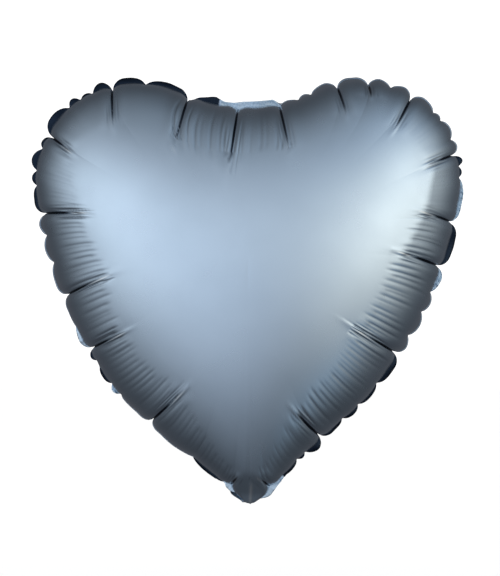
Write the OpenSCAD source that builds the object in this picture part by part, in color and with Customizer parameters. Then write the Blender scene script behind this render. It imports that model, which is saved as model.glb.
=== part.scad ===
// Heart-shaped foil balloon: two domed foil panels welded round the edge, with a flat filling neck
// below the point, folded up behind, and a flat film valve inside.
// Origin: on the fold line of the neck, just below the heart's point, where a ribbon is tied.
// +Z is up, -Y is the front, and the weld between the two panels lies in the plane y = 0.

/* [Heart outline] */
// Distance from the middle to the centre of each lobe's arc
lobe_x = 100; // [95:1:105]
// Height of the lobes' centres above the fold line
lobe_z = 292; // [280:1:300]
// Radius of the weld line round a lobe
lobe_r = 89; // [84:1:92]
// Radius of the hollow between the lobes
cleft_r = 140; // [110:5:170]
// Slope of the side where the lobe ends, from the vertical
side_start = 8; // [4:1:12]
// Slope of the side just above the point, from the vertical
side_end = 46; // [43:1:48]
// Radius of the point
tip_r = 7; // [5:1:9]
// Height of the point's lowest edge above the fold line
tip_z = 3; // [3:0.5:5]

/* [Inflated shape] */
// Overall thickness of the inflated balloon, front to back
thickness = 217; // [190:1:225]
// Height of the fullest place above the fold line
crown_z = 228; // [215:1:240]
// How far the hollow below the cleft sinks, as a share of the height there
valley_share = 0.16; // [0:0.02:0.24]

/* [Foil and weld] */
// Thickness of a foil panel
foil_t = 0.4; // [0.3:0.05:0.6]
// Width of the welded edge outside the panels
seam_w = 6; // [4:0.5:8]
// Thickness of the welded edge
seam_t = 0.6; // [0.6:0.1:1.2]
// Width of the gap in the welded edge at the point, where the neck leaves
mouth_w = 32; // [30:1:36]

/* [Neck] */
// Length of the neck from its fold line
neck_len = 60; // [50:1:70]
// Width of the neck over its welds
neck_w = 32; // [30:1:36]
// Width of each of the neck's side welds
neck_weld_w = 4; // [3:0.5:4]
// Half the space between the neck's two sheets
neck_gap = 1.6; // [1.4:0.1:1.8]
// Angle of the folded neck behind the balloon, from the vertical
neck_lean = 53; // [52:1:60]
// Diameter of the filling hole
port_d = 10; // [8:0.5:12]
// Distance of the filling hole from the fold line
port_at = 42; // [35:1:46]

/* [Valve] */
// Width of the valve strip
valve_w = 18; // [14:1:18]
// Length of the valve above the point, inside the balloon
valve_len = 80; // [60:1:100]
// Thickness of a valve film
valve_t = 0.3; // [0.25:0.05:0.4]
// Distance between the two valve films
valve_gap = 0.4; // [0.3:0.1:0.8]
// Height of the valve's lower end above the fold line
valve_z = 14; // [13:1:18]

/* [Hidden] */

foil_colour = [0.55, 0.61, 0.68];
weld_colour = [0.36, 0.42, 0.50];
film_colour = [0.86, 0.88, 0.90];

// The cleft's arc touches both lobes' arcs from above.
cleft_z = lobe_z + sqrt(pow(lobe_r + cleft_r, 2) - pow(lobe_x, 2));
cleft_end = atan2(lobe_z - cleft_z, lobe_x);

// The side's arc leaves the lobe at side_start and ends on a straight line that touches the point's arc.
side_top = [lobe_x + lobe_r * cos(side_start), lobe_z - lobe_r * sin(side_start)];
line_offset = tip_r - (tip_z + tip_r) * sin(side_end);
top_offset = side_top.x * cos(side_end) - side_top.y * sin(side_end);
side_r = (line_offset - top_offset) / (1 - cos(side_end - side_start));
side_centre = side_top - side_r * [cos(side_start), -sin(side_start)];

// Points along each stretch of half the outline, and rings from the weld to the crown.
CLEFT_N = 6;
LOBE_N = 16;
SIDE_N = 12;
LINE_N = 6;
TIP_N = 4;
RINGS = 11;

crown = [0, crown_z];
dome_h = thickness / 2 - seam_t / 2;

function arc(c, r, from, to, n) =
    [for (i = [0:n - 1]) let (a = from + (to - from) * i / n) c + r * [cos(a), sin(a)]];

function line(p, q, n) = [for (i = [0:n - 1]) p + (q - p) * i / n];

function on_arc(c, r, a) = c + r * [cos(a), sin(a)];

// The right half of the outline, d outside the weld line, from the cleft down to the point.
function right_side(d) = concat(
    arc([0, cleft_z], cleft_r - d, -90, cleft_end, CLEFT_N),
    arc([lobe_x, lobe_z], lobe_r + d, 180 + cleft_end, -side_start, LOBE_N),
    arc(side_centre, side_r + d, -side_start, -side_end, SIDE_N),
    line(
        on_arc(side_centre, side_r + d, -side_end),
        on_arc([0, tip_z + tip_r], tip_r + d, -side_end),
        LINE_N
    ),
    arc([0, tip_z + tip_r], tip_r + d, -side_end, -90, TIP_N),
    [[0, tip_z - d]]
);

function heart(d) =
    let (right = right_side(d), n = len(right))
    concat(right, [for (i = [n - 2:-1:1]) [-right[i].x, right[i].y]]);

function smooth(v) = let (u = min(max(v, 0), 1)) u * u * (3 - 2 * u);

// The dome's power: a round edge at the sides, fuller lobes, and a nearly straight cone at the point.
function power(p) =
    let (a = atan2(p.y - crown.y, abs(p.x)))
    0.5 + 0.42 * exp(-pow((a + 90) / 14, 2)) + 0.22 * smooth((a - 10) / 50);

function valley(p) = 1 - valley_share * exp(-pow(p.x / 38, 2)) * smooth((p.y - 250) / 100);

// Height of the dome above the weld, at phi from the weld (0) to the crown (90), towards edge point p.
function dome(p, phi) =
    dome_h * pow(sin(phi), 2 * power(p)) * valley(crown + (p - crown) * cos(phi));

function ring(edge, phi, inset) = [
    for (p = edge)
        let (
            q = crown + (p - crown) * cos(phi) * (1 - inset / norm(p - crown)),
            h = dome(p, phi) * (1 - inset / dome_h)
        )
        [q.x, -seam_t / 2 - h, q.y]
];

function shell_points(edge, inset) = concat(
    [for (j = [0:RINGS - 1]) each ring(edge, 90 * j / RINGS, inset)],
    [[0, -seam_t / 2 - dome_h + inset, crown.y]]
);

// Triangles of one skin of the shell, whose points start at base.
function skin_faces(n, base) = concat(
    [
        for (j = [0:RINGS - 2], i = [0:n - 1])
            let (a = base + j * n + i, b = base + j * n + (i + 1) % n)
            each [[a, b, b + n], [a, b + n, a + n]]
    ],
    [
        for (i = [0:n - 1])
            let (last = base + (RINGS - 1) * n)
            [last + i, last + (i + 1) % n, base + RINGS * n]
    ]
);

function turned(faces) = [for (f = faces) [f[2], f[1], f[0]]];

function rim_faces(n, base) = [
    for (i = [0:n - 1])
        let (k = (i + 1) % n)
        each [[i, base + k, k], [i, base + i, base + k]]
];

// A thin domed shell: the outer skin, the inner skin and the flat rim that the weld grips.
module panel() {
    edge = heart(0);
    n = len(edge);
    outer = shell_points(edge, 0);
    inner = shell_points(edge, foil_t);
    faces = concat(
        skin_faces(n, 0),
        turned(skin_faces(n, len(outer))),
        rim_faces(n, len(outer))
    );
    polyhedron(points = concat(outer, inner), faces = faces);
}

module front_panel() {
    color(foil_colour) panel();
}

module rear_panel() {
    color(foil_colour) mirror([0, 1, 0]) panel();
}

// The flat welded edge, gripped between the two panels' rims and open at the point.
module seam_flange() {
    color(weld_colour)
    rotate([90, 0, 0])
    translate([0, 0, -seam_t / 2])
    linear_extrude(seam_t)
    difference() {
        polygon(heart(seam_w));
        polygon(heart(-2 * foil_t));
        translate([-mouth_w / 2, tip_z - 2 * seam_w]) square([mouth_w, 4 * seam_w]);
    }
}

// The neck is drawn upright along +Z with its front sheet on +Y, then leaned back behind the balloon.
NECK_START = 1.5;
NECK_BEND = 2;
weld_x = neck_w / 2 - neck_weld_w;
flat_x = weld_x - NECK_BEND;

module folded() {
    rotate([-neck_lean, 0, 0]) children();
}

// One neck sheet: a flat middle, a bend down to the weld on each side, and the weld itself.
module neck_sheet() {
    translate([0, 0, NECK_START])
    linear_extrude(neck_len - NECK_START)
    polygon([
        [-neck_w / 2, 0],
        [-neck_w / 2, foil_t],
        [-weld_x, foil_t],
        [-flat_x, neck_gap + foil_t],
        [flat_x, neck_gap + foil_t],
        [weld_x, foil_t],
        [neck_w / 2, foil_t],
        [neck_w / 2, 0],
        [weld_x, 0],
        [flat_x, neck_gap],
        [-flat_x, neck_gap],
        [-weld_x, 0]
    ]);
}

module port() {
    translate([0, 0, port_at]) rotate([-90, 0, 0]) cylinder(d = port_d, h = 2 * neck_gap, $fn = 64);
}

module neck_front_sheet() {
    color(foil_colour) folded() difference() {
        neck_sheet();
        port();
    }
}

module neck_rear_sheet() {
    color(foil_colour) folded() mirror([0, 1, 0]) neck_sheet();
}

// The valve strip inside the neck lies against the sheet's inner face.
NECK_VALVE_START = 4;
NECK_VALVE_END = 6;

module neck_valve_film() {
    translate([-valve_w / 2, neck_gap - valve_t, NECK_VALVE_START])
    cube([valve_w, valve_t, neck_len - NECK_VALVE_END - NECK_VALVE_START]);
}

module neck_valve_front_film() {
    color(film_colour) folded() difference() {
        neck_valve_film();
        port();
    }
}

module neck_valve_rear_film() {
    color(film_colour) folded() mirror([0, 1, 0]) neck_valve_film();
}

// The valve's free films stand above the point inside the balloon, nearly touching.
module valve_film() {
    translate([-valve_w / 2, -valve_gap / 2 - valve_t, valve_z]) cube([valve_w, valve_t, valve_len]);
}

module valve_front_film() {
    color(film_colour) valve_film();
}

module valve_rear_film() {
    color(film_colour) mirror([0, 1, 0]) valve_film();
}

front_panel();
rear_panel();
seam_flange();
neck_front_sheet();
neck_rear_sheet();
valve_front_film();
valve_rear_film();
neck_valve_front_film();
neck_valve_rear_film();
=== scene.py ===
"""Heart-shaped foil balloon: the looks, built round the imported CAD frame.

Lengths are in millimetres while a mesh is worked out, and in metres once it is a Blender object.
The foil is laid on "spokes" that leave the weld line in the direction of the tucks and run to the crown.
A point of a panel is known by its place along the weld line and its distance from the weld along the foil.
"""
import math

import bpy
import numpy as np
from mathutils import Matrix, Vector


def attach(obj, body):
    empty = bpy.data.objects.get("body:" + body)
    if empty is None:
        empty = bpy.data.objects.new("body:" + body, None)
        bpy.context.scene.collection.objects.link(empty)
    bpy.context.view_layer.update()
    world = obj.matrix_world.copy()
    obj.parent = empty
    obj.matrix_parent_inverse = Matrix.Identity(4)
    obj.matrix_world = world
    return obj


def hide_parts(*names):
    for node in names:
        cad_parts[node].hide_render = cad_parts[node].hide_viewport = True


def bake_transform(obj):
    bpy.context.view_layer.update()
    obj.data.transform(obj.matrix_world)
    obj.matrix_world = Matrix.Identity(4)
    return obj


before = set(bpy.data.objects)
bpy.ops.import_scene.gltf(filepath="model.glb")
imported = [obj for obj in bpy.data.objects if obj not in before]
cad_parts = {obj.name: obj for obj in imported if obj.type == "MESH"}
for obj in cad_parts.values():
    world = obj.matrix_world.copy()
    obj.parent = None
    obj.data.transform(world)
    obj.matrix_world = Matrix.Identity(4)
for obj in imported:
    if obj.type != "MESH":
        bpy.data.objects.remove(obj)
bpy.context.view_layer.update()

MM = 0.001

# Foil mesh: spokes round the weld line, closer together at the tucks. Rows run from the weld line
# through the creased band, and one spoke in CUT goes on through the smooth rows to the crown.
WELD_SAMPLES = 2400
COARSE_SPOKES = 480
SPOKES = 1760
CUT = 4
TUCK_CROWDING = 2.6     # how much closer together the spokes are at a tuck
CROWDING_REACH = 5.0    # and how far from it along the weld
BAND_ROWS = 34
CROWN_ROWS = 14
BAND_SHARE = 0.6        # the creased band's share of the way from the weld line to the crown
SPOKE_BEND = 48.0       # how far from the weld line, at most, a spoke turns towards the crown

# Tucks of the foil, clockwise from the cleft as seen from the front. Each has its outer and inner ends
# (x, z) and how deeply it notches the weld: 0 is only a place where the foil changes, and less is a ridge.
# Then come four facts about the foil up to the next tuck: how strongly it is pleated, how sharply it bends
# at the line between the tucks' inner ends, how far the blown-up weld line runs outside the cut one, and its
# scallops. A scallop has a kind and a length against the others: rolled back like the foil (f), with painted
# shade, narrow (n) or wide (N), crinkled with a painted silvery sheen, narrow (s) or wide (S), a straight
# band with a painted silvery sheen (b), a wedge of painted shade (w), or hardly there (-).
TUCKS = [
    ((28, 359), (35, 322), 0.3, 0.0, 0.0, -2.0, "-3 f2 f4"),
    ((80, 376), (86, 352), 3.0, 0.0, 0.0, -1.5, "f1"),
    ((108, 383), (109, 368), 1.5, 0.0, 0.0, -1.5, "f4 f4"),
    ((147, 368), (131, 340), 6.0, 0.1, 0.1, 0.0, "f5 f2 f4 f3"),
    ((185, 316), (161, 306), 6.5, 0.15, 0.8, -1.5, "N2 n2 s8"),
    ((181, 256), (152, 264), 7.0, 1.0, 0.6, -1.5, "N1"),
    ((171, 216), (134, 228), 7.0, 1.0, 0.25, -2.5, "s5 f4 f5 f4"),
    ((131, 139), (95, 160), 7.0, 0.9, 0.1, 0.0, "N5 n4 n3 n4"),
    ((65, 63), (43, 86), 6.0, 0.35, 0.0, -2.0, "N4 n2 n4 b3"),
    ((17, 21), (9, 28), 0.6, 0.0, 0.0, 2.5, "b1"),
    ((2, 3), (3, 26), -1.0, 0.0, 0.0, -3.0, "b1"),
    ((-15, 21), (-10, 28), 0.6, 0.7, 0.0, -1.0, "b1 n6"),
    ((-49, 45), (-36, 62), 0.0, 0.8, 0.0, 4.0, "-1"),
    ((-85, 79), (-59, 104), 5.0, 0.8, 0.05, 5.0, "-6 s2 n3 -1 n2"),
    ((-141, 142), (-112, 156), 7.0, 1.0, 0.12, 2.5, "s4 -5"),
    ((-163, 190), (-124, 207), 7.0, 1.0, 0.12, -3.0, "f5 f4 f3"),
    ((-184, 263), (-146, 263), 7.0, 0.35, 0.05, -1.5, "n4 n2 N3 n2"),
    ((-178, 333), (-158, 318), 6.0, 0.0, 0.1, -2.5, "N5 N2 n2 N3"),
    ((-122, 375), (-119, 345), 4.0, 0.0, 0.0, -4.5, "N3 N4"),
    ((-53, 368), (-64, 322), 2.5, 1.8, 0.15, -2.0, "-1 w9 b6"),
    ((-9, 356), (-16, 304), 0.3, 0.9, 0.0, -1.5, "b1"),
]

TIP_AT = 2.0            # how far right of the middle the heart's point is
TIP_TOP = 26.0          # the ridge at the point and the narrower weld there are below this height
TIP_DROP = 0.5          # how far the panels run on below the cut point, to the neck
EDGE_OUT = 1.1          # how far the weld line runs further out than TUCKS says, away from the point
GROOVE = 2.3            # depth of a tuck away from the weld
SCALLOP_NOTCH = 2.0     # depth of the pucker between two scallops
# How far the foil puffs out along a scallop of each kind.
PUFFS = {"f": 2.8, "n": 0.8, "N": 0.8, "s": 0.8, "S": 0.8, "b": 0.0, "w": 0.4, "-": 0.8}
PLEAT_PITCH = 5.4       # distance between two pleats
PLEAT_DEPTH = 0.78      # depth of a pleat where TUCKS says 1
BAND_BULGE = 2.2        # how far the foil bulges between two tucks
SHOULDER = 2.2          # how far it stands out where it bends, where TUCKS says 1
SHOULDER_OUT = 3.5      # how far outside the line between the tucks' inner ends the foil bends
TIP_ROOM = (1.6, 3.4)   # the panels keep this far from the folded neck's middle: at the fold, and higher up


def smooth(t):
    t = np.clip(t, 0, 1)
    return t * t * (3 - 2 * t)


def bell(distance, width):
    return np.exp(-((distance / width) ** 2))


def blurred(values, width):
    """A closed run of even samples, smoothed over about width samples."""
    n = len(values)
    wave = np.exp(-0.5 * (np.fft.rfftfreq(n) * 2 * np.pi * width) ** 2)
    if values.ndim > 1:
        wave = wave[:, None]
    return np.fft.irfft(np.fft.rfft(values, axis=0) * wave, n, axis=0)


def evened(values, reach):
    """An open run of samples, each averaged with reach neighbours on either side."""
    count = 2 * reach + 1
    return np.convolve(np.pad(values, reach, mode="edge"), np.ones(count) / count, mode="valid")


def unit(vectors):
    return vectors / np.maximum(np.linalg.norm(vectors, axis=-1), 1e-9)[..., None]


def wrapped(d, length):
    """A distance along the closed weld line, taken the short way round."""
    return (d + length / 2) % length - length / 2


def nearest(points, target):
    return int(np.argmin(((points - np.array(target, float)) ** 2).sum(-1)))


# ---------------------------------------------------------------- the weld line

def cad_points(node):
    return np.array([v.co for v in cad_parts[node].data.vertices]) / MM


def through(corners, steps):
    """A closed Catmull-Rom curve through the corners."""
    p0, p1, p2, p3 = (np.roll(corners, k, axis=0) for k in (1, 0, -1, -2))
    found = []
    for t in np.linspace(0, 1, steps, endpoint=False):
        cubic = 3 * p1 - p0 - 3 * p2 + p3
        square = 2 * p0 - 5 * p1 + 4 * p2 - p3
        found.append(0.5 * (2 * p1 + (p2 - p0) * t + square * t**2 + cubic * t**3))
    return np.stack(found, axis=1).reshape(-1, 2)


class WeldLine:
    """The CAD weld line, clockwise from the cleft: where it runs, and where the foil's spokes go from it."""

    def __init__(self):
        co = cad_points("front_panel")
        self.half = -co[:, 1].min()
        self.crown = co[co[:, 1].argmin()][[0, 2]]
        rim = co[co[:, 1] > co[:, 1].max() - 0.01][:, [0, 2]] - self.crown
        turn = np.round(np.degrees(np.arctan2(rim[:, 0], rim[:, 1])) % 360, 1) % 360
        corners = []
        for angle in np.unique(turn):
            same = rim[turn == angle]
            corners.append(same[np.linalg.norm(same, axis=1).argmax()])
        curve = through(np.array(corners), 24) + self.crown
        steps = np.linalg.norm(np.roll(curve, -1, axis=0) - curve, axis=1)
        self.length = steps.sum()
        self.at = (np.arange(WELD_SAMPLES) + 0.5) * self.length / WELD_SAMPLES
        ends = np.concatenate([[0], np.cumsum(steps)])
        curve = np.vstack([curve, curve[:1]])
        self.rim = np.stack([np.interp(self.at, ends, curve[:, k]) for k in (0, 1)], axis=1)
        sample = self.length / WELD_SAMPLES
        tangent = np.roll(self.rim, -1, axis=0) - np.roll(self.rim, 1, axis=0)
        self.normal = unit(blurred(unit(np.stack([tangent[:, 1], -tangent[:, 0]], axis=1)), 4 / sample))
        self.rim = blurred(self.rim, 1.5 / sample)
        self.tucks = [self.at[nearest(self.rim, tuck[0])] for tuck in TUCKS]
        fade = smooth((self.rim[:, 1] - 30) / 30)
        self.rim -= self.normal * (self.shift(sample) + EDGE_OUT * fade)[:, None]
        low = self.rim[:, 1] < 40
        self.rim[:, 1] -= TIP_DROP * np.exp(-(((self.rim[:, 0] - TIP_AT) / 8) ** 4)) * low
        self.aim_spokes(sample)

    def shift(self, sample):
        """How far the blown-up weld line runs outside the cut one."""
        starts = np.array(self.tucks)
        middles = (starts + (np.roll(starts, -1) - starts) % self.length / 2) % self.length
        shifts = np.array([tuck[5] for tuck in TUCKS])
        order = np.argsort(middles)
        stepped = np.interp(self.at, middles[order], shifts[order], period=self.length)
        return blurred(stepped, 6 / sample)

    def aim_spokes(self, sample):
        """Spokes leave the weld line along the tucks, turn evenly between them, and never cross the axis."""
        places, angles = [], []
        for at, (outer, inner, *_) in zip(self.tucks, TUCKS):
            places.append(at)
            angles.append(math.atan2(inner[1] - outer[1], inner[0] - outer[0]))
        order = np.argsort(places)
        places = np.array(places)[order]
        angles = np.unwrap(np.array(angles)[order])
        places = np.concatenate([places[-1:] - self.length, places, places[:1] + self.length])
        angles = np.concatenate([angles[-1:] + 2 * np.pi, angles, angles[:1] - 2 * np.pi])
        angle = np.interp(self.at, places, angles)
        aim = unit(blurred(np.stack([np.cos(angle), np.sin(angle)], axis=1), 7 / sample))
        self.aim = aim
        reach = 0.55 * np.hypot(self.rim[:, 0], 5) / np.hypot(aim[:, 0], 0.2)
        reach = np.minimum(reach, SPOKE_BEND)
        reach = np.where(self.rim[:, 1] > self.crown[1], SPOKE_BEND, reach)
        self.reach = blurred(reach, 8 / sample)

    def sampled(self, values, at):
        """Values on the weld line's samples, read at other places along it."""
        padded_at = np.concatenate([self.at[-1:] - self.length, self.at, self.at[:1] + self.length])
        padded = np.concatenate([values[-1:], values, values[:1]])
        if values.ndim == 1:
            return np.interp(at, padded_at, padded)
        return np.stack([np.interp(at, padded_at, padded[:, k]) for k in range(values.shape[1])], axis=1)


def row_turns():
    """How far each row is from the weld line (0) to the crown (a quarter turn)."""
    band = BAND_SHARE * np.pi / 2
    outer = np.linspace(0, band, BAND_ROWS + 1)
    inner = np.linspace(band, np.pi / 2, CROWN_ROWS + 1)
    return np.concatenate([outer, inner[1:]])


def spoke_plan(weld, at):
    """Plan positions (row, spoke, xz) of the panel's grid. Row 0 is the weld line; the last is the crown."""
    rim = weld.sampled(weld.rim, at)
    control = rim + weld.sampled(weld.reach, at)[:, None] * weld.sampled(weld.aim, at)
    b = (1 - np.cos(row_turns()))[:, None, None]
    return (1 - b) ** 2 * rim + 2 * b * (1 - b) * control + b**2 * weld.crown


def spoke_places(weld):
    """Places of the spokes along the weld line, closer together at the tucks."""
    edges = np.arange(WELD_SAMPLES + 1) * weld.length / WELD_SAMPLES
    crowd = np.ones(WELD_SAMPLES)
    for tuck in weld.tucks:
        crowd += TUCK_CROWDING * bell(wrapped(weld.at - tuck, weld.length), CROWDING_REACH)
    total = np.concatenate([[0], np.cumsum(crowd)])
    return np.interp((np.arange(SPOKES) + 0.5) / SPOKES * total[-1], total, edges)


# ---------------------------------------------------------------- the smooth shape of a panel

def grid_triangles(rows, count):
    """Triangles between rows of a closed grid whose last row is one point."""
    i = np.arange(count)
    k = (i + 1) % count
    found = []
    for j in range(rows - 1):
        a, b = j * count, (j + 1) * count
        found += [np.stack([a + i, a + k, b + k], 1), np.stack([a + i, b + k, b + i], 1)]
    last = (rows - 1) * count
    found.append(np.stack([last + i, last + k, np.full(count, rows * count)], 1))
    return np.vstack(found)


def sag_field(points, triangles, fixed):
    """Height of an evenly loaded membrane held at its edge: the solution of Poisson's equation."""
    n = len(points)
    ends, weights, load = [], [], np.zeros(n)
    corner = [points[triangles[:, k]] for k in range(3)]
    cross2 = lambda p, q: p[:, 0] * q[:, 1] - p[:, 1] * q[:, 0]
    area = np.abs(cross2(corner[1] - corner[0], corner[2] - corner[0])) / 2
    for k in range(3):
        a, b, c = corner[k], corner[(k + 1) % 3], corner[(k + 2) % 3]
        cot = ((b - a) * (c - a)).sum(1) / np.maximum(np.abs(cross2(b - a, c - a)), 1e-9)
        ends.append(np.stack([triangles[:, (k + 1) % 3], triangles[:, (k + 2) % 3]], 1))
        weights.append(cot / 2)
        load += np.bincount(triangles[:, k], area / 3, n)
    ends, weights = np.vstack(ends), np.concatenate(weights)
    p, q = ends.T

    def stiff(x):
        flow = weights * (x[p] - x[q])
        return np.where(fixed, 0, np.bincount(p, flow, n) - np.bincount(q, flow, n))

    diagonal = np.maximum(np.bincount(p, weights, n) + np.bincount(q, weights, n), 1e-9)
    x = np.zeros(n)
    r = np.where(fixed, 0, load)
    z = r / diagonal
    step, rz = z.copy(), r @ z
    start = rz
    for _ in range(1500):
        s = stiff(step)
        a = rz / (step @ s)
        x += a * step
        r -= a * s
        z = r / diagonal
        rz, old = r @ z, rz
        if rz < 1e-12 * start:
            break
        step = z + rz / old * step
    return x


def smooth_panel(weld, at):
    """The panel without tucks or pleats, as a grid (row, spoke, xyz) with its front facing -Y."""
    rows = BAND_ROWS + CROWN_ROWS
    coarse_at = (np.arange(COARSE_SPOKES) + 0.5) * weld.length / COARSE_SPOKES
    coarse = spoke_plan(weld, coarse_at)
    flat = np.vstack([coarse[:-1].reshape(-1, 2), coarse[-1, :1]])
    fixed = np.zeros(len(flat), bool)
    fixed[:COARSE_SPOKES] = True
    sag = sag_field(flat, grid_triangles(rows, COARSE_SPOKES), fixed)
    plan = spoke_plan(weld, at)
    height = np.full(plan.shape[:2], weld.half)
    share = WELD_SAMPLES // COARSE_SPOKES
    for j in range(rows):
        row = blurred(sag[j * COARSE_SPOKES:(j + 1) * COARSE_SPOKES], 0.8)
        dense = np.fft.irfft(np.fft.rfft(row), WELD_SAMPLES) * share
        dense = np.roll(dense, (share - 1) // 2)
        height[j] = weld.half * np.sqrt(np.maximum(weld.sampled(dense, at), 0) / sag.max())
    return np.stack([plan[..., 0], -height, plan[..., 1]], axis=-1)


# ---------------------------------------------------------------- tucks, pleats and the buckled weld

class Foil:
    """Where each grid point of a panel is on the foil: its place along the weld line, its distance from
    the weld along the foil, and how much closer the spokes have come to each other there."""

    def __init__(self, grid, at, length):
        steps = np.linalg.norm(np.diff(grid, axis=0), axis=2)
        self.away = np.concatenate([np.zeros((1, grid.shape[1])), np.cumsum(steps, axis=0)])
        self.along = np.broadcast_to(at, self.away.shape)
        self.length = length
        gaps = np.linalg.norm(np.roll(grid, -1, axis=1) - np.roll(grid, 1, axis=1), axis=2)
        self.closeness = gaps / gaps[0]
        self.plan = grid[..., [0, 2]]

    def across(self, outer, inner, at):
        """Distance in plan from the straight line through a tuck's two ends, on its own side of the heart."""
        along = unit(np.subtract(inner, outer).astype(float))
        side = (self.plan - outer) @ (along[1], -along[0])
        return np.where(np.abs(wrapped(self.along - at, self.length)) < 90, side, 1e3)

    def crossing(self, grid, start, end):
        """Distance from the weld at which each spoke passes the line from start to end (x, z)."""
        start, end = np.array(start, float), np.array(end, float)
        along = end - start
        beyond = (grid[..., 0] - start[0]) * along[1] - (grid[..., 2] - start[1]) * along[0]
        beyond *= -np.sign(beyond[-1, 0])
        row = np.clip(np.argmax(beyond < 0, axis=0), 1, len(grid) - 1)
        spoke = np.arange(grid.shape[1])
        near, far = beyond[row - 1, spoke], beyond[row, spoke]
        share = np.clip(near / np.where(near == far, 1, near - far), 0, 1)
        return self.away[row - 1, spoke] * (1 - share) + self.away[row, spoke] * share

    def side(self, line):
        """Distance along the foil from a line of places along the weld."""
        return wrapped(self.along - line, self.length) * self.closeness


def tuck_facts(weld, grid, foil):
    """Each tuck as a dict: place along the weld, slant, length along the foil, and the facts in TUCKS."""
    plan = grid[..., [0, 2]]
    found = []
    for k, (at, tuck) in enumerate(zip(weld.tucks, TUCKS)):
        outer, inner, depth, pleats, shoulder, _, scallops = tuck
        row, spoke = np.unravel_index(nearest(plan[1:-1], inner), plan[1:-1].shape[:2])
        found.append({
            "at": at, "outer": outer, "inner": inner, "depth": depth, "pleats": pleats,
            "reach": foil.away[row + 1, spoke],
            "shoulder": shoulder, "scallops": scallops,
            "bend": foil.crossing(grid, inner, TUCKS[(k + 1) % len(TUCKS)][1]),
            "slant": wrapped(foil.along[row + 1, spoke] - at, foil.length),
        })
    return sorted(found, key=lambda tuck: tuck["at"])


def segments(tucks, length):
    """Pairs of neighbouring tucks with the distance between them along the weld."""
    for k, tuck in enumerate(tucks):
        after = tucks[(k + 1) % len(tucks)]
        yield tuck, after, (after["at"] - tuck["at"]) % length


def make_scallops(tucks, length):
    """Scallops of the welded edge as dicts: start and span along the weld, kind, and whether at a tuck."""
    found = []
    for tuck, _, span in segments(tucks, length):
        words = tuck["scallops"].split()
        shares = np.array([float(word[1:]) for word in words])
        ends = np.concatenate([[0], np.cumsum(shares)]) / shares.sum()
        for k, word in enumerate(words):
            start = (tuck["at"] + span * ends[k]) % length
            wide = span * (ends[k + 1] - ends[k])
            found.append({"at": start, "span": wide, "kind": word[0], "tuck": k == 0})
    return sorted(found, key=lambda scallop: scallop["at"])


def tuck_streaks(side, part, reach, rng):
    """Fine streaks beside a tuck's inner end: how far they lift the foil, and the painted shade along them.
    """
    relief = np.zeros(side.shape)
    painted_shading = np.zeros(side.shape)
    for gap in (-5.5, -2.6, 2.4, 4.8):
        gap += rng.uniform(-0.6, 0.6)
        start, end = rng.uniform(0.35, 0.7), rng.uniform(0.95, 1.12)
        window = smooth((part - start) / 0.3) * smooth((end - part) / 0.18)
        fine = rng.uniform(0.25, 0.6) / (1 + abs(gap) / 5) * reach / 40
        relief -= fine * window * np.exp(-((np.abs(side - gap) / 0.75) ** 1.5))
        relief += 0.6 * fine * window * bell(side - gap + 1.5 * np.sign(gap), 0.8)
        # painted shade along each streak
        painted_shading = np.maximum(painted_shading, 0.3 * window * bell(side - gap, 0.5))
    return relief, painted_shading


def tuck_relief(foil, tucks, rng):
    """How far the foil lies above the smooth shape because of the tucks, and its painted shade along a crease
    (above 0) or painted highlight on its lip (below 0)."""
    relief = np.zeros(foil.along.shape)
    painted_shading = np.zeros(foil.along.shape)
    painted_glint = np.zeros(foil.along.shape)
    for tuck in tucks:
        reach, depth = tuck["reach"], tuck["depth"]
        if depth == 0:
            continue
        part = 0.93 * foil.away / reach
        side = foil.across(tuck["outer"], tuck["inner"], tuck["at"])
        fade = np.clip(1 - part, 0, 1)
        if depth < 0:
            relief -= depth * fade**0.6 * bell(side, 0.8)
            # painted highlight along the ridge
            painted_glint = np.maximum(painted_glint, 0.75 * smooth(2.5 * fade) * bell(side, 1.3))
            continue
        inward, down = np.subtract(tuck["inner"], tuck["outer"])
        if abs(inward) < abs(down):
            end, gaps, painted_highlight = 0.95, (-0.9, 0.9), 0.4
        else:
            end, gaps, painted_highlight = 0.74, (0.7 * np.sign(inward),), 0.8
        lens = smooth(part / 0.5) * smooth((end + 0.2 - part) / 0.5)
        groove = GROOVE * smooth(1.6 * fade) ** 0.6 * smooth(0.25 + foil.away / 8)
        relief -= groove * np.exp(-np.abs(side) / (0.4 + 0.35 * lens))
        relief -= depth * np.exp(-foil.away / 8 - np.abs(side) / 0.9)
        relief -= 0.6 * smooth(1.5 * fade) * bell(side, 3.2)
        relief += 0.9 * fade**0.5 * bell(np.abs(side) - 8, 5)
        relief += 0.45 * bell(part - 1, 0.1) * bell(side, 2)
        wide = 0.25 + 0.7 * lens
        # painted shade along the crease, fading out towards the tuck's inner end
        painted_shade_span = smooth((end + 0.14 - part) / 0.3)
        painted_shading = np.maximum(painted_shading, painted_shade_span * smooth((wide + 0.5 - np.abs(side)) / 0.9))
        # painted highlights beside the tuck's inner end
        painted_highlight_span = painted_highlight * smooth((part - end + 0.12) / 0.15) * smooth((min(end + 0.3, 1.05) - part) / 0.15)
        for gap in gaps:
            painted_glint = np.maximum(painted_glint, painted_highlight_span * bell(side - gap, 0.6))
        lifted, painted_streak_shade = tuck_streaks(side, part, reach, rng)
        relief += lifted
        painted_shading = np.maximum(painted_shading, painted_streak_shade)
    return relief, painted_shading - painted_glint


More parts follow.
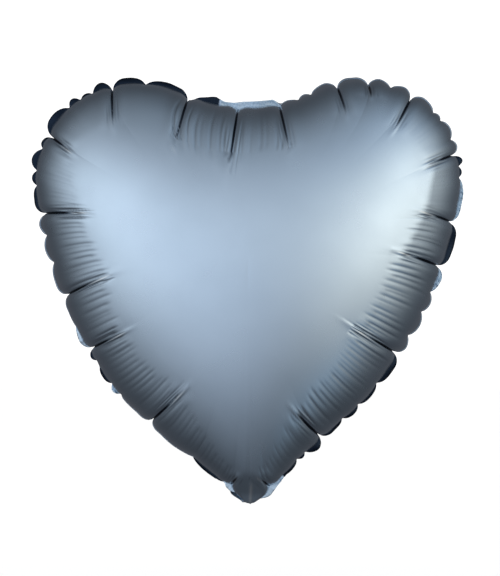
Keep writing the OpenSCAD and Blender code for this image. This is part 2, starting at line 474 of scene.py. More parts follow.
def band_relief(foil, tucks):
    """The foil bulges between two tucks, and bends where the band round the edge meets the middle."""
    relief = np.zeros(foil.along.shape)
    for k, (tuck, after, span) in enumerate(segments(tucks, foil.length)):
        share = ((foil.along - tuck["at"]) % foil.length) / span
        inside = share < 1
        share = np.where(inside, share, 0)
        bulge = np.sin(np.pi * share) ** 0.7 * bell(foil.away, 55)
        relief += inside * BAND_BULGE * min(span / 60, 1.3) * bulge
        beyond = foil.away + SHOULDER_OUT - tuck["bend"] * tuck["change"]
        ridge = np.exp(-np.sqrt(beyond**2 + 4) / 13)
        strength = tuck["shoulder"] + (tucks[k - 1]["shoulder"] - tuck["shoulder"]) * smooth(0.5 - 3 * share)
        strength += (after["shoulder"] - tuck["shoulder"]) * smooth(3 * share - 2.5)
        relief += inside * SHOULDER * strength * ridge
    return relief


def pleat_relief(foil, tucks, rng):
    """Fine parallel pleats that end at the line between two tucks' inner ends and fade towards the weld."""
    relief = np.zeros(foil.along.shape)
    for tuck, after, span in segments(tucks, foil.length):
        if not tuck["pleats"]:
            continue
        count = round(span / PLEAT_PITCH)
        for share in (np.arange(count) + 0.5) / count + rng.uniform(-0.25, 0.25, count) / count:
            slant = tuck["slant"] * (1 - share) + after["slant"] * share
            spoke = np.argmin(np.abs(wrapped(foil.along[0] - tuck["at"] - share * span, foil.length)))
            end = tuck["bend"][spoke] * tuck["change"] + rng.uniform(-4, 5)
            part = foil.away / end
            side = foil.side(tuck["at"] + share * span + slant * np.minimum(part, 1.3))
            start = rng.uniform(0.2, 0.5)
            window = smooth((part - start) / 0.3) * smooth((1 - part) / 0.08)
            near = 0.6 + 0.7 * abs(2 * share - 1) ** 3
            depth = PLEAT_DEPTH * tuck["pleats"] * near * rng.uniform(0.4, 1.3)
            relief -= depth * window * np.exp(-(np.abs(side / rng.uniform(0.9, 1.5)) ** 1.7))
    return relief


def scallop_relief(foil, scallops):
    """The foil puffs out along each scallop and is puckered where two scallops meet."""
    relief = np.zeros(foil.along.shape)
    for scallop in scallops:
        if not scallop["tuck"] and scallop["kind"] not in "b-":
            side = wrapped(foil.along - scallop["at"], foil.length)
            relief -= SCALLOP_NOTCH * np.exp(-np.abs(side) / 2.6 - foil.away / 9)
        share = np.clip(((foil.along - scallop["at"]) % foil.length) / scallop["span"], 0, 1)
        puff = PUFFS[scallop["kind"]] * min(scallop["span"] / 18, 1.2)
        relief += puff * np.sin(np.pi * share) * np.exp(-foil.away / 11)
    return relief


def weld_sway(at, scallops, length, still, rng):
    """How far the weld line is buckled to the back (+) or front (-): scallops mostly alternate. still is 0
    where it stays flat."""
    sway = np.zeros(len(at))
    for k, scallop in enumerate(scallops):
        share = np.clip(((at - scallop["at"]) % length) / scallop["span"], 0, 1)
        hand = (1 if k % 2 else -1) * (1 if rng.random() > 0.2 else -1)
        size = rng.uniform(1.0, 2.4) * min(scallop["span"] / 24, 1.3)
        hand = 1 if scallop["kind"] == "f" else hand
        sway += hand * size * np.sin(np.pi * share) ** 2
    return sway * still


def outward_normals(grid):
    across = np.roll(grid, -1, axis=1) - np.roll(grid, 1, axis=1)
    down = np.gradient(grid, axis=0)
    normal = unit(np.cross(across, down))
    normal[-1] = (0, -1, 0)
    if normal[BAND_ROWS, :, 1].mean() > 0:
        normal[:-1] *= -1
    return normal


def flat_tip(grid, foil):
    """The panel pressed in towards the weld's plane at the heart's point, so the folded neck lies clear."""
    height = -grid[..., 1]
    room = TIP_ROOM[0] + (TIP_ROOM[1] - TIP_ROOM[0]) * smooth(grid[..., 2] / 14)
    allowed = (grid[..., 2] * NECK_ALONG[1] - room) / NECK_ALONG[2]
    allowed = np.maximum(allowed, 0.3) + 0.05 * np.minimum(foil.away, 4)
    allowed += 0.8 * bell(grid[..., 0] - TIP_AT, 1.5) * smooth((TIP_TOP - grid[..., 2]) / 10)
    over = height - allowed
    near = smooth((34 - np.abs(grid[..., 0])) / 14) * smooth((60 - grid[..., 2]) / 15)
    out = grid.copy()
    out[..., 1] += near * (over + np.sqrt(over**2 + 1)) / 2 * smooth(foil.away / 2)
    return out


def creased_panel(grid, rim_normal, foil, tucks, scallops, sway, seed, reach_change):
    """The smooth panel with its tucks, pleats and buckled weld, still facing -Y, and the painted shade and
    painted highlights along its tucks and pleats.
    """
    rng = np.random.default_rng(seed)
    changes = 1 + reach_change * rng.uniform(-1, 1, len(tucks))
    own = [dict(tuck, reach=tuck["reach"] * change, change=change) for tuck, change in zip(tucks, changes)]
    relief, painted_shading = tuck_relief(foil, own, rng)
    relief += band_relief(foil, own)
    pleats = pleat_relief(foil, own, rng)
    relief += pleats
    # painted shade in the pleats' valleys
    painted_shading += np.clip(-0.18 * pleats, 0, 0.24)
    relief += scallop_relief(foil, scallops)
    flat = np.stack([-rim_normal[:, 0], np.zeros(len(rim_normal)), -rim_normal[:, 1]], axis=1)
    mix = smooth(foil.away / 8)[..., None]
    normal = unit(outward_normals(grid) * mix + flat * (1 - mix))
    settle = smooth((len(grid) - 1 - np.arange(len(grid))) / CROWN_ROWS)[:, None]
    out = grid + normal * (relief * settle)[..., None]
    out[..., 1] += sway * np.exp(-foil.away / 14)
    return flat_tip(out, foil), painted_shading


# ---------------------------------------------------------------- meshes

FILM = 0.4              # distance between a film's two faces


def mesh_object(name, points, faces, material, sharp=()):
    """A smooth-shaded mesh object from points in millimetres; the edges in sharp stay crisp."""
    mesh = bpy.data.meshes.new(name)
    mesh.from_pydata((np.asarray(points) * MM).tolist(), [], faces)
    mesh.materials.append(material)
    mesh.polygons.foreach_set("use_smooth", [True] * len(mesh.polygons))
    if len(sharp):
        wanted = {tuple(sorted(map(int, e))) for e in sharp}
        flags = [tuple(sorted(e.vertices)) in wanted for e in mesh.edges]
        mesh.attributes.new("sharp_edge", "BOOLEAN", "EDGE").data.foreach_set("value", flags)
    mesh.update()
    obj = bpy.data.objects.new(name, mesh)
    bpy.context.scene.collection.objects.link(obj)
    return obj


def panel_points(grid, full):
    """A panel's points: full rows of the creased band, then one spoke in CUT, then the crown."""
    size = grid.shape[-1]
    return np.vstack([grid[:full].reshape(-1, size), grid[full:-1, ::CUT].reshape(-1, size), grid[-1, :1]])


def ring_quads(a, b, count):
    i = np.arange(count)
    k = (i + 1) % count
    return np.stack([a + i, a + k, b + k, b + i], 1).tolist()


def panel_faces(rows, full, base):
    """Faces of one skin, whose points are in the order that panel_points gives."""
    few = SPOKES // CUT
    found = []
    for j in range(full - 1):
        found += ring_quads(base + j * SPOKES, base + (j + 1) * SPOKES, SPOKES)
    wide, narrow = base + (full - 1) * SPOKES, base + full * SPOKES
    for i in range(few):
        k = (i + 1) % few
        for step in range(CUT):
            a, b = wide + i * CUT + step, wide + (i * CUT + step + 1) % SPOKES
            found.append([a, b, narrow + (i if step < CUT // 2 else k)])
        found.append([wide + i * CUT + CUT // 2, narrow + k, narrow + i])
    for j in range(rows - full - 1):
        found += ring_quads(narrow + j * few, narrow + (j + 1) * few, few)
    last = narrow + (rows - full - 1) * few
    i = np.arange(few)
    found += np.stack([last + i, last + (i + 1) % few, np.full(few, last + few)], 1).tolist()
    return found


def facing_out(points, faces):
    """The faces of a closed mesh, turned round if they face inward."""
    points = np.asarray(points, float)
    volume = 0.0
    for size in (3, 4):
        some = np.array([f for f in faces if len(f) == size], int).reshape(-1, size)
        for k in range(1, size - 1):
            a, b, c = points[some[:, 0]], points[some[:, k]], points[some[:, k + 1]]
            volume += (a * np.cross(b, c)).sum()
    return faces if volume > 0 else [f[::-1] for f in faces]


def add_numbers(obj, name, values):
    obj.data.attributes.new(name, "FLOAT", "POINT").data.foreach_set("value", values.astype(np.float32))


def panel_object(name, creased_and_shaded, rim_normal, side, material):
    """A closed film from a creased grid: its seen face whole, and its inner face with every other row."""
    grid, painted_shading = creased_and_shaded
    inner = (grid - outward_normals(grid) * FILM)[::2]
    inner[0] = grid[0] + FILM * np.stack([rim_normal[:, 0], 0 * rim_normal[:, 0], rim_normal[:, 1]], axis=1)
    seen = panel_points(grid, BAND_ROWS)
    base = len(seen)
    rows = BAND_ROWS + CROWN_ROWS
    points = np.vstack([seen, panel_points(inner, BAND_ROWS // 2)])
    faces = (
        panel_faces(rows, BAND_ROWS, 0)
        + [f[::-1] for f in panel_faces(rows // 2, BAND_ROWS // 2, base)]
        + [f[::-1] for f in ring_quads(0, base, SPOKES)]
    )
    if side > 0:
        points[:, 1] *= -1
    i = np.arange(SPOKES)
    k = (i + 1) % SPOKES
    rims = np.vstack([np.stack([i, k], 1), np.stack([base + i, base + k], 1)])
    obj = mesh_object(name, points, facing_out(points, faces), material, rims)
    # the painted shade and painted highlights go onto both faces as a point attribute
    painted_shadings = [panel_points(painted_shading[..., None], BAND_ROWS), panel_points(painted_shading[::2, :, None], BAND_ROWS // 2)]
    add_numbers(obj, "painted_shading", np.vstack(painted_shadings)[:, 0])
    return obj


def strip_object(name, grid, thickness, material):
    """A closed film from an open grid of points (row, column, xyz), thickened to both sides."""
    across = np.gradient(grid, axis=1)
    down = np.gradient(grid, axis=0)
    face = unit(np.cross(across, down)) * thickness / 2
    m, n = grid.shape[:2]
    points = np.vstack([(grid + face).reshape(-1, 3), (grid - face).reshape(-1, 3)])
    faces = []
    i = np.arange(n - 1)
    for j in range(m - 1):
        a, b = j * n, (j + 1) * n
        top = np.stack([a + i, a + i + 1, b + i + 1, b + i], 1)
        faces += top.tolist() + (top[:, ::-1] + n * m).tolist()
    for j in (0, m - 1):
        wall = np.stack([j * n + i, j * n + i + 1, j * n + i + 1 + n * m, j * n + i + n * m], 1)
        faces += (wall[:, ::-1] if j == 0 else wall).tolist()
    for i in (0, n - 1):
        for j in range(m - 1):
            wall = [j * n + i, (j + 1) * n + i, (j + 1) * n + i + n * m, j * n + i + n * m]
            faces.append(wall if i == 0 else wall[::-1])
    return mesh_object(name, points, facing_out(points, faces), material)


# The welded edge, by kind of scallop: its colour from painted shade (0) over the foil's own colour (0.5) to a
# painted silvery sheen (1), WIDTHS against WELD_WIDTH, and TILTS as the range of degrees that it curls out of
# the weld's plane.
WELD_ROWS = 7
WELD_STEP = 0.5
WELD_WIDTH = 5.6
WELD_FILM = 0.24        # distance between the weld's two faces
NECK_GAP = 8.0          # half the gap in the welded edge at the point, where the neck leaves
TONES_AND_PAINTED_LIGHT = {"n": 0.0, "N": 0.0, "f": 0.5, "-": 0.5, "s": 1.0, "S": 1.0, "b": 1.0, "w": 0.0}
WIDTHS = {"n": 0.6, "N": 0.95, "f": 0.5, "-": 0.3, "s": 0.55, "S": 1.0, "b": 1.1, "w": 1.15}
TILTS = {
    "n": (25, 50), "N": (15, 40), "f": (76, 88), "-": (76, 85),
    "s": (5, 25), "S": (5, 25), "b": (0, 10), "w": (0, 10),
}


def weld_runs(fine, length, scallops, rng):
    """Along the weld: its width, its tilt, its colour from painted shade over the foil's own colour to a
    painted silvery sheen, and where its outer edge runs straight (1).
    """
    width, band, tilt, tone_and_painted_light, straight = (np.zeros(len(fine)) for _ in range(5))
    for scallop in scallops:
        share = ((fine - scallop["at"]) % length) / scallop["span"]
        inside = share < 1
        arch = np.sin(np.pi * np.clip(share, 0, 1))
        kind = scallop["kind"]
        arch = {"b": np.ones(len(fine)), "w": np.clip(1.3 * share, 0, 1)}.get(kind, arch)
        hand = 1 if kind in "fnNw-" or rng.random() < 0.6 else -1
        size = WIDTHS[kind] * rng.uniform(0.85, 1.15) * min(scallop["span"] / 13, 1)
        if kind in "bw":
            band += inside * size * arch
        else:
            width += inside * size * (0.2 + 0.85 * arch**0.8)
        tilt += inside * hand * math.radians(rng.uniform(*TILTS[kind])) * arch**0.5
        # the weld's colour by kind: painted shade, the foil's own colour, or painted silvery sheen
        tone_and_painted_light += inside * TONES_AND_PAINTED_LIGHT[kind]
        straight += inside * (kind == "b")
    return evened(width, 2) + evened(band, 8), evened(tilt, 2), evened(tone_and_painted_light, 2), evened(straight, 8)


def weld_object(weld, rim, at, scallops, rng, material):
    """The welded edge: a thin strip along the buckled weld line, curled and puckered scallop by scallop."""
    fine = np.arange(0, weld.length, WELD_STEP)
    padded_at = np.concatenate([at[-1:] - weld.length, at, at[:1] + weld.length])
    padded = np.concatenate([rim[-1:], rim, rim[:1]])
    edge = np.stack([np.interp(fine, padded_at, padded[:, k]) for k in range(3)], axis=1)
    normal = weld.sampled(weld.normal, fine)
    keep = ~((np.abs(edge[:, 0]) < NECK_GAP) & (edge[:, 2] < 3 * NECK_GAP))
    first = int(np.argmax(keep & ~np.roll(keep, 1)))
    order = (first + np.arange(int(keep.sum()))) % len(fine)
    fine, edge, normal = fine[order], edge[order], normal[order]
    width, tilt, tone_and_painted_light, straight = weld_runs(fine, weld.length, scallops, rng)
    even = weld.sampled(weld.rim, fine)
    even = np.stack([even[:, 0], edge[:, 1], even[:, 1]], axis=1) - edge
    crinkled = np.clip(2 * tone_and_painted_light - 1, 0, 1)
    narrower = 0.85 * smooth((np.abs(edge[:, 0]) - NECK_GAP) / 10)
    reach = WELD_WIDTH * width * np.where(edge[:, 2] < TIP_TOP, narrower, 1)
    out = -np.stack([normal[:, 0], 0 * fine, normal[:, 1]], axis=1)
    rows = []
    for e in np.linspace(-0.08, 1, WELD_ROWS):
        lift = max(e, 0)
        bend = tilt * (0.4 + 0.6 * lift)
        ripple = 0.05 * np.sin(2 * np.pi * fine / 2.6) * math.sin(math.pi * min(lift, 1))
        dents = 0.7 * np.sin(fine * 0.8 + 4 * e) * np.sin(fine * 0.37 - 3 * e)
        dents += 0.2 * np.sin(fine * 1.7 - 5 * e)
        dents *= crinkled * lift * (1 - 0.85 * straight)
        row = edge + even * (lift * straight)[:, None] + out * (reach * e * np.cos(bend))[:, None]
        row[:, 1] += reach * e * np.sin(bend) + ripple + dents
        rows.append(row)
    obj = strip_object("seam_flange_film", np.array(rows), WELD_FILM, material)
    # the weld's colour along it, from painted shade to painted silvery sheen, as a point attribute
    add_numbers(obj, "tone_and_painted_light", np.tile(np.tile(tone_and_painted_light, WELD_ROWS), 2))
    return obj


# ---------------------------------------------------------------- the neck and the valve

NECK_ALONG = np.array([0.0, 0.79864, 0.60182])      # the folded neck runs this way from the fold line
NECK_OUT = np.array([0.0, 0.60182, -0.79864])       # and this way is away from the balloon
NECK_LENGTH = 60.0
NECK_FILM = 0.3         # distance between a neck sheet's two faces
NECK_HALF = 16.0        # half the neck's width
FOLD_HALF = 4.5         # half its width where it is gathered at the fold line
NECK_WELD = 4.0         # width of each side weld
SHEET_GAP = 1.8         # from the neck's middle plane to the middle of a sheet
PORT_AT = 42.0
PORT_RADIUS = 5.0
FILM_HALF = 9.0         # half a valve film's width
FILM_THICKNESS = 0.25
VALVE_BOTTOM, VALVE_TOP = 14.0, 94.0
VALVE_GAP = 0.35        # from the middle between the valve films to the middle of each
SHEET_START = 7.0       # where along the neck a sheet runs straight, after its wrap round the point
FILM_START, FILM_END = 7.2, 53.0
# The wrap round the point: the middle (y, z) of each row, for the outer sheet (1) and the inner one (-1).
WRAPS = {1: [(0.2, 4.8), (0.5, 4.1), (1.4, 3.7), (2.8, 3.5), (4.2, 3.5)], -1: [(0.7, 5.1), (2.8, 4.7)]}


def film_object(name, grid, thickness, material, gone=None):
    """A closed film from an open grid of points; gone marks the grid's faces that are cut away."""
    rows, columns = grid.shape[:2]
    points = grid.reshape(-1, 3)
    i, j = np.meshgrid(np.arange(rows - 1), np.arange(columns - 1), indexing="ij")
    a = i * columns + j
    quads = np.stack([a, a + 1, a + columns + 1, a + columns], axis=-1)
    quads = quads[~gone] if gone is not None else quads.reshape(-1, 4)
    down, across = np.gradient(grid, axis=0), np.gradient(grid, axis=1)
    normal = unit(np.cross(across, down)).reshape(-1, 3)
    edges = np.concatenate([np.stack([quads[:, k], quads[:, (k + 1) % 4]], axis=1) for k in range(4)])
    reverse = set(map(tuple, edges[:, ::-1].tolist()))
    border = np.array([edge for edge in edges.tolist() if tuple(edge) not in reverse])
    n = len(points)
    walls = np.stack([border[:, 0], border[:, 0] + n, border[:, 1] + n, border[:, 1]], axis=1)
    faces = np.vstack([quads, quads[:, ::-1] + n, walls])
    both = np.vstack([points + normal * thickness / 2, points - normal * thickness / 2])
    used, places = np.unique(faces, return_inverse=True)
    faces = places.reshape(-1, 4).tolist()
    sharp = np.searchsorted(used, np.vstack([border, border + n]))
    return mesh_object(name, both[used], facing_out(both[used], faces), material, sharp)


def crumple(x, s, seed):
    """Soft irregular waves of a film, from -1 to 1."""
    rng = np.random.default_rng(seed)
    total = 0
    for _ in range(6):
        turn, pitch = rng.uniform(0, np.pi), rng.uniform(9, 24)
        along = x * np.cos(turn) + s * np.sin(turn)
        total = total + np.sin(2 * np.pi * along / pitch + rng.uniform(0, 6.28))
    return total / 4


def cut_port(x, s):
    """Where the grid of a sheet is cut for the port, with the grid's points round it moved onto its edge."""
    away = np.hypot(x, s - PORT_AT)
    middle = (away[:-1, :-1] + away[1:, :-1] + away[:-1, 1:] + away[1:, 1:]) / 4
    gone = middle < PORT_RADIUS
    touched = np.zeros(x.shape, bool)
    kept = np.zeros(x.shape, bool)
    for rows in (slice(0, -1), slice(1, None)):
        for columns in (slice(0, -1), slice(1, None)):
            touched[rows, columns] |= gone
            kept[rows, columns] |= ~gone
    edge = touched & kept
    pull = np.where(edge, PORT_RADIUS / np.maximum(away, 0.1), 1)
    return x * pull, PORT_AT + (s - PORT_AT) * pull, gone


def neck_half(s):
    """Half the neck's width: gathered at the fold line, then opening out."""
    return FOLD_HALF + (NECK_HALF - FOLD_HALF) * smooth((s - 4) / 16)


def neck_height(x, s, half, seed):
    """How far a sheet stands from the neck's middle plane: flat welds, and a slack tube between."""
    open_half = half - NECK_WELD * half / NECK_HALF
    share = np.clip(np.abs(x) / open_half, 0, 1)
    tube = SHEET_GAP * smooth((1 - share) * open_half / 3.5) * smooth(s / 16)
    waves = 0.28 * crumple(x, s, seed) * smooth((1 - share) * 3)
    waves *= smooth(s / 8) * smooth((NECK_LENGTH - s) / 4)
    gathered = 0.3 * np.cos(2.5 * np.pi * x / half) * smooth(1.2 - s / 12) * smooth((1 - share) * 3)
    return np.maximum(0.2 + tube + waves + gathered, 0.2)


def neck_points(x, s, d):
    return x[..., None] * np.array([1.0, 0, 0]) + s[..., None] * NECK_ALONG + d[..., None] * NECK_OUT


def neck_sheet(name, hand, seed, material, port):
    """A sheet of the neck from the heart's point round the fold and along; hand +1 is the outer one."""
    across = np.linspace(-1, 1, 81)
    start = [SHEET_START, SHEET_START + 0.4]
    length = np.concatenate([start, np.linspace(SHEET_START + 0.8, NECK_LENGTH, 142)])
    s, share = np.meshgrid(length, across, indexing="ij")
    half = neck_half(s)
    x = share * half
    gone = np.zeros((len(length) - 1, len(across) - 1), bool)
    if port:
        x, s, gone = cut_port(x, s)
    d = hand * neck_height(x, s, half, seed)
    grid = neck_points(x, s, d)
    middle = 1 - np.abs(across) ** 4
    rows = []
    for y, z in WRAPS[hand]:
        row = grid[0].copy()
        row[:, 1] = y * (0.35 + 0.65 * middle)
        row[:, 2] = z + 0.4 * (1 - middle)
        rows.append(row)
    grid = np.concatenate([np.array(rows), grid])
    gone = np.vstack([np.zeros((len(rows), gone.shape[1]), bool), gone])
    return film_object(name, grid, NECK_FILM, material, gone)


def neck_film(name, hand, seed, material, port):
    """A valve film inside the neck, lying against a sheet."""
    s, share = np.meshgrid(np.linspace(FILM_START, FILM_END, 93), np.linspace(-1, 1, 37), indexing="ij")
    x = share * np.minimum(FILM_HALF, 0.75 * neck_half(s))
    gone = np.zeros((s.shape[0] - 1, s.shape[1] - 1), bool)
    if port:
        x, s, gone = cut_port(x, s)
    d = hand * np.maximum(neck_height(x, s, neck_half(s), seed) - 0.45, 0.2)
    return film_object(name, neck_points(x, s, d), FILM_THICKNESS, material, gone)


def valve_film(name, hand, material):
    """A free valve film standing inside the balloon."""
    up, across = np.linspace(VALVE_BOTTOM, VALVE_TOP, 81), np.linspace(-FILM_HALF, FILM_HALF, 25)
    z, x = np.meshgrid(up, across, indexing="ij")
    y = hand * VALVE_GAP + 0.35 * crumple(x, z, 5) * smooth((z - VALVE_BOTTOM) / 20)
    return film_object(name, np.stack([x, y, z], axis=-1), FILM_THICKNESS, material)


# ---------------------------------------------------------------- materials

def linear(red, green, blue):
    """An sRGB colour, 0 to 255, as linear RGBA."""
    found = []
    for c in (red / 255, green / 255, blue / 255):
        found.append(c / 12.92 if c <= 0.04045 else ((c + 0.055) / 1.055) ** 2.4)
    return (*found, 1.0)


def fill(tree, node, inputs):
    """Sets each input to a number, a colour or a vector, or links it to another node's output."""
    for name, value in inputs.items():
        if isinstance(value, bpy.types.NodeSocket):
            tree.links.new(value, node.inputs[name])
        else:
            node.inputs[name].default_value = value
    return node


def add_node(tree, kind, inputs, **settings):
    node = tree.nodes.new("ShaderNode" + kind)
    for name, value in settings.items():
        setattr(node, name, value)
    return fill(tree, node, inputs)


def new_material(name):
    material = bpy.data.materials.new(name)
    material.use_nodes = True
    return material, material.node_tree, material.node_tree.nodes["Principled BSDF"]


def math_node(tree, operation, *values):
    return add_node(tree, "Math", dict(enumerate(values)), operation=operation).outputs[0]


def noise(tree, scale, detail=3.0, roughness=0.55, stretch=(1, 1, 1)):
    place = add_node(tree, "TexCoord", {}).outputs["Object"]
    shape = add_node(tree, "Mapping", {"Vector": place, "Scale": stretch}).outputs["Vector"]
    inputs = {"Vector": shape, "Scale": scale, "Detail": detail, "Roughness": roughness}
    return add_node(tree, "TexNoise", inputs).outputs["Fac"]


def remap(tree, value, low, high):
    inputs = {"Value": value, "From Min": 0.3, "From Max": 0.7, "To Min": low, "To Max": high}
    return add_node(tree, "MapRange", inputs).outputs["Result"]


def two_colours(tree, factor, first, second):
    inputs = {"Factor": factor, "A": first, "B": second}
    return add_node(tree, "Mix", inputs, data_type="RGBA").outputs["Result"]


def bump(tree, height, distance, strength, below=None):
    inputs = {"Height": height, "Distance": distance, "Strength": strength}
    if below is not None:
        inputs["Normal"] = below
    return add_node(tree, "Bump", inputs).outputs["Normal"]


def foil_material():
    """Satin metallised film in steel blue, with a very fine grain, painted shade in its creases and pleats,
    and painted highlights beside the tucks.
    """
    material, tree, shader = new_material("steel_blue_foil")
    tone_and_painted_light = remap(tree, noise(tree, 14, 2), 0.0, 1.0)
    satin = two_colours(tree, tone_and_painted_light, linear(174, 191, 207), linear(180, 197, 213))
    # painted shade: above 0 the satin darkens towards a dark blue-grey
    painted_shading = add_node(tree, "Attribute", {}, attribute_name="painted_shading").outputs["Fac"]
    creased_and_shaded = two_colours(tree, painted_shading, satin, linear(46, 58, 74))
    painted_highlight = math_node(tree, "MULTIPLY", painted_shading, -1)
    grain = bump(tree, noise(tree, 1500, 2), 0.0001, 0.08)
    fill(tree, shader, {
        "Metallic": 1.0,
        # painted highlight: below 0 the colour goes towards near-white
        "Base Color": two_colours(tree, painted_highlight, creased_and_shaded, linear(244, 250, 255)),
        "Roughness": remap(tree, noise(tree, 30, 3), 0.23, 0.28),
        "Normal": bump(tree, noise(tree, 420, 2, stretch=(1, 1, 0.25)), 0.0002, 0.05, grain),
    })
    return material


def weld_material():
    """The heat-sealed edge: painted shade on the dark scallops, the foil's own colour where rolled, and a
    painted silvery sheen where crinkled.
    """
    material, tree, shader = new_material("heat_sealed_foil")
    tone_and_painted_light = add_node(tree, "Attribute", {}, attribute_name="tone_and_painted_light").outputs["Fac"]
    patch = math_node(tree, "MULTIPLY", tone_and_painted_light, remap(tree, noise(tree, 60, 2), 0.85, 1.0))
    ramp = add_node(tree, "ValToRGB", {"Fac": patch})
    stops = ramp.color_ramp.elements
    # the dark stop is painted shade, the middle stop the foil's own colour, the top stop a painted silvery
    # sheen
    stops[0].position, stops[0].color = 0.0, linear(26, 35, 48)
    stops[1].position, stops[1].color = 1.0, linear(172, 190, 205)
    stops.new(0.5).color = linear(150, 166, 184)
    place = add_node(tree, "TexCoord", {}).outputs["Object"]
    hatch = add_node(tree, "TexWave", {"Vector": place, "Scale": 150}, bands_direction="DIAGONAL")
    crinkle = bump(tree, noise(tree, 70, 2), 0.0006, 0.25)
    fill(tree, shader, {
        "Metallic": 1.0,
        "Base Color": ramp.outputs["Color"],
        "Roughness": remap(tree, noise(tree, 90, 3), 0.2, 0.34),
        "Normal": bump(tree, hatch.outputs["Fac"], 0.0001, 0.12, crinkle),
    })
    return material


def valve_material():
    """Milky, slightly wrinkled clear film."""
    material, tree, shader = new_material("milky_valve_film")
    fill(tree, shader, {
        "Base Color": linear(226, 231, 234),
        "Transmission Weight": 0.55,
        "IOR": 1.45,
        "Roughness": remap(tree, noise(tree, 120, 2), 0.28, 0.42),
        "Normal": bump(tree, noise(tree, 220, 2), 0.0002, 0.3),
    })
    return material


# ---------------------------------------------------------------- camera, floor and light

VIEW_WIDTH = 0.450      # width of the view at the weld's plane
CAMERA_DISTANCE = 2.4
CAMERA_AIM = (0.0018, 0.1965)       # x and z
SENSOR = 36
FLOOR_AT = -0.12        # the balloon floats above the floor


def make_camera():
    data = bpy.data.cameras.new("camera")
    data.sensor_fit = "HORIZONTAL"
    data.sensor_width = SENSOR
    data.lens = SENSOR * CAMERA_DISTANCE / VIEW_WIDTH
    camera = bpy.data.objects.new("camera", data)
    camera.location = (CAMERA_AIM[0], -CAMERA_DISTANCE, CAMERA_AIM[1])
    camera.rotation_euler = (math.pi / 2, 0, 0)
    bpy.context.scene.collection.objects.link(camera)
    bpy.context.scene.camera = camera


# Soft lights round the balloon: the direction each stands in, how narrow it is, and its colour.
SOFT_LIGHTS = [
    ((-0.5, -0.8, 0.2), 2.5, (0.80, 0.83, 0.88)),   # the large soft box, in front on the left
    ((-0.2, -0.9, -0.4), 2.5, (0.32, 0.34, 0.38)),  # fill from low in front
    ((0.9, -0.5, 0.1), 7, (1.40, 1.25, 1.00)),      # the key light on the right, a little warm
    ((0.8, -0.5, 0.2), 2.5, (0.38, 0.41, 0.44)),    # its wide glow
    ((-0.9, -0.4, 0.1), 7, (0.60, 0.62, 0.62)),     # strip light at the far left
    ((0.1, -0.2, 1.0), 7, (0.12, 0.13, 0.14)),      # ceiling
    ((0.7, -0.3, 0.7), 7, (0.15, 0.21, 0.28)),      # cool light high on the right
    ((0.7, -0.2, -0.7), 30, (0.14, 0.21, 0.27)),    # small cool light low on the right
    ((0.0, 1.0, 0.0), 2.5, (0.10, 0.10, 0.11)),     # the room behind
]


def soft_light(tree, direction, tightness, colour):
    """The colour that one soft light gives in the direction looked in."""
    place = add_node(tree, "TexCoord", {}).outputs["Generated"]
    aim = add_node(tree, "VectorMath", {0: place, 1: Vector(direction).normalized()}, operation="DOT_PRODUCT")
    scaled = math_node(tree, "MULTIPLY_ADD", aim.outputs["Value"], tightness, -tightness)
    glow = math_node(tree, "POWER", math.e, scaled)
    return add_node(tree, "VectorMath", {0: colour, "Scale": glow}, operation="SCALE").outputs[0]


def make_world():
    """White for the camera and for diffuse light, and the soft lights for everything that reflects."""
    world = bpy.data.worlds.new("studio")
    bpy.context.scene.world = world
    world.use_nodes = True
    tree = world.node_tree
    tree.nodes.clear()
    total = soft_light(tree, *SOFT_LIGHTS[0])
    for light in SOFT_LIGHTS[1:]:
        both = {0: total, 1: soft_light(tree, *light)}
        total = add_node(tree, "VectorMath", both, operation="ADD").outputs[0]
    room = add_node(tree, "Background", {"Color": total})
    white = add_node(tree, "Background", {"Color": (1, 1, 1, 1), "Strength": 1.2})
    path = add_node(tree, "LightPath", {}).outputs
    plain = math_node(tree, "MAXIMUM", path["Is Camera Ray"], path["Is Diffuse Ray"])
    choose = add_node(tree, "MixShader", {"Fac": plain, 1: room.outputs[0], 2: white.outputs[0]})
    add_node(tree, "OutputWorld", {"Surface": choose.outputs[0]})


def make_floor():
    material, tree, shader = new_material("pale_floor")
    fill(tree, shader, {"Base Color": (0.93, 0.93, 0.93, 1), "Roughness": 0.9})
    corners = [(x, y, FLOOR_AT) for x, y in ((-6, -6), (6, -6), (6, 6), (-6, 6))]
    mesh = bpy.data.meshes.new("floor")
    mesh.from_pydata(corners, [], [(0, 1, 2, 3)])
    mesh.materials.append(material)
    floor = bpy.data.objects.new("floor", mesh)
    floor.visible_glossy = False
    bpy.context.scene.collection.objects.link(floor)


# ---------------------------------------------------------------- the balloon

REAR_CHANGE = 0.25      # the rear panel's tucks are longer or shorter than the front's by up to this share


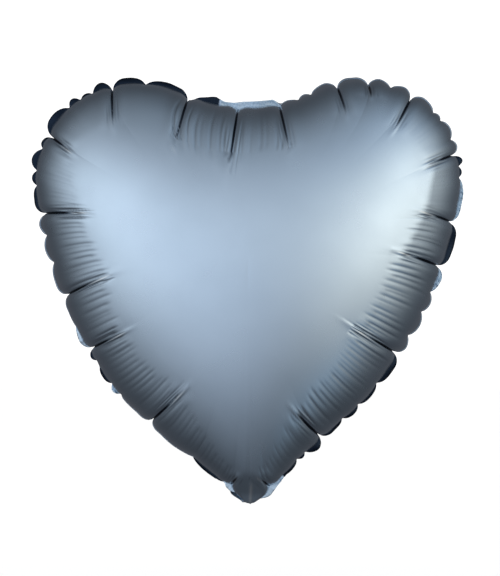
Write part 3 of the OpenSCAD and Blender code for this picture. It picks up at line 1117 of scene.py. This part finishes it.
def make_balloon():
    foil_look, weld_look = foil_material(), weld_material()
    weld = WeldLine()
    at = spoke_places(weld)
    grid = smooth_panel(weld, at)
    foil = Foil(grid, at, weld.length)
    tucks = tuck_facts(weld, grid, foil)
    rng = np.random.default_rng(7)
    scallops = make_scallops(tucks, weld.length)
    still = smooth((weld.sampled(weld.rim, at)[:, 1] - 8) / 30)
    sway = weld_sway(at, scallops, weld.length, still, rng)
    rim_normal = weld.sampled(weld.normal, at)
    front = creased_panel(grid, rim_normal, foil, tucks, scallops, sway, 11, 0.0)
    rear = creased_panel(grid, rim_normal, foil, tucks, scallops, -sway, 12, REAR_CHANGE)
    front_foil = panel_object("front_panel_foil", front, rim_normal, -1, foil_look)
    rear_foil = panel_object("rear_panel_foil", rear, rim_normal, 1, foil_look)
    edge = weld_object(weld, front[0][0], at, scallops, rng, weld_look)
    for piece, node, slot in (
        (front_foil, "front_panel", "foil"), (rear_foil, "rear_panel", "foil"), (edge, "seam_flange", "weld"),
    ):
        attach(piece, "envelope")
        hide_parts(node)


def make_neck():
    foil_look, film_look = foil_material(), valve_material()
    for name, node, hand, seed, port in (
        ("neck_front_sheet_foil", "neck_front_sheet", 1, 21, True),
        ("neck_rear_sheet_foil", "neck_rear_sheet", -1, 22, False),
    ):
        sheet = neck_sheet(name, hand, seed, foil_look, port)
        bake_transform(sheet)
        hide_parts(node)
    for name, node, hand, seed, port in (
        ("neck_valve_front_film_sheet", "neck_valve_front_film", 1, 21, True),
        ("neck_valve_rear_film_sheet", "neck_valve_rear_film", -1, 22, False),
    ):
        film = neck_film(name, hand, seed, film_look, port)
        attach(film, "neck")
        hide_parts(node)
    for name, node, hand in (
        ("valve_front_film_sheet", "valve_front_film", -1), ("valve_rear_film_sheet", "valve_rear_film", 1),
    ):
        film = valve_film(name, hand, film_look)
        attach(film, node.replace("_film", ""))
        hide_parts(node)


make_camera()
make_world()
make_floor()
make_balloon()
make_neck()
bpy.context.scene.view_settings.view_transform = "Standard"
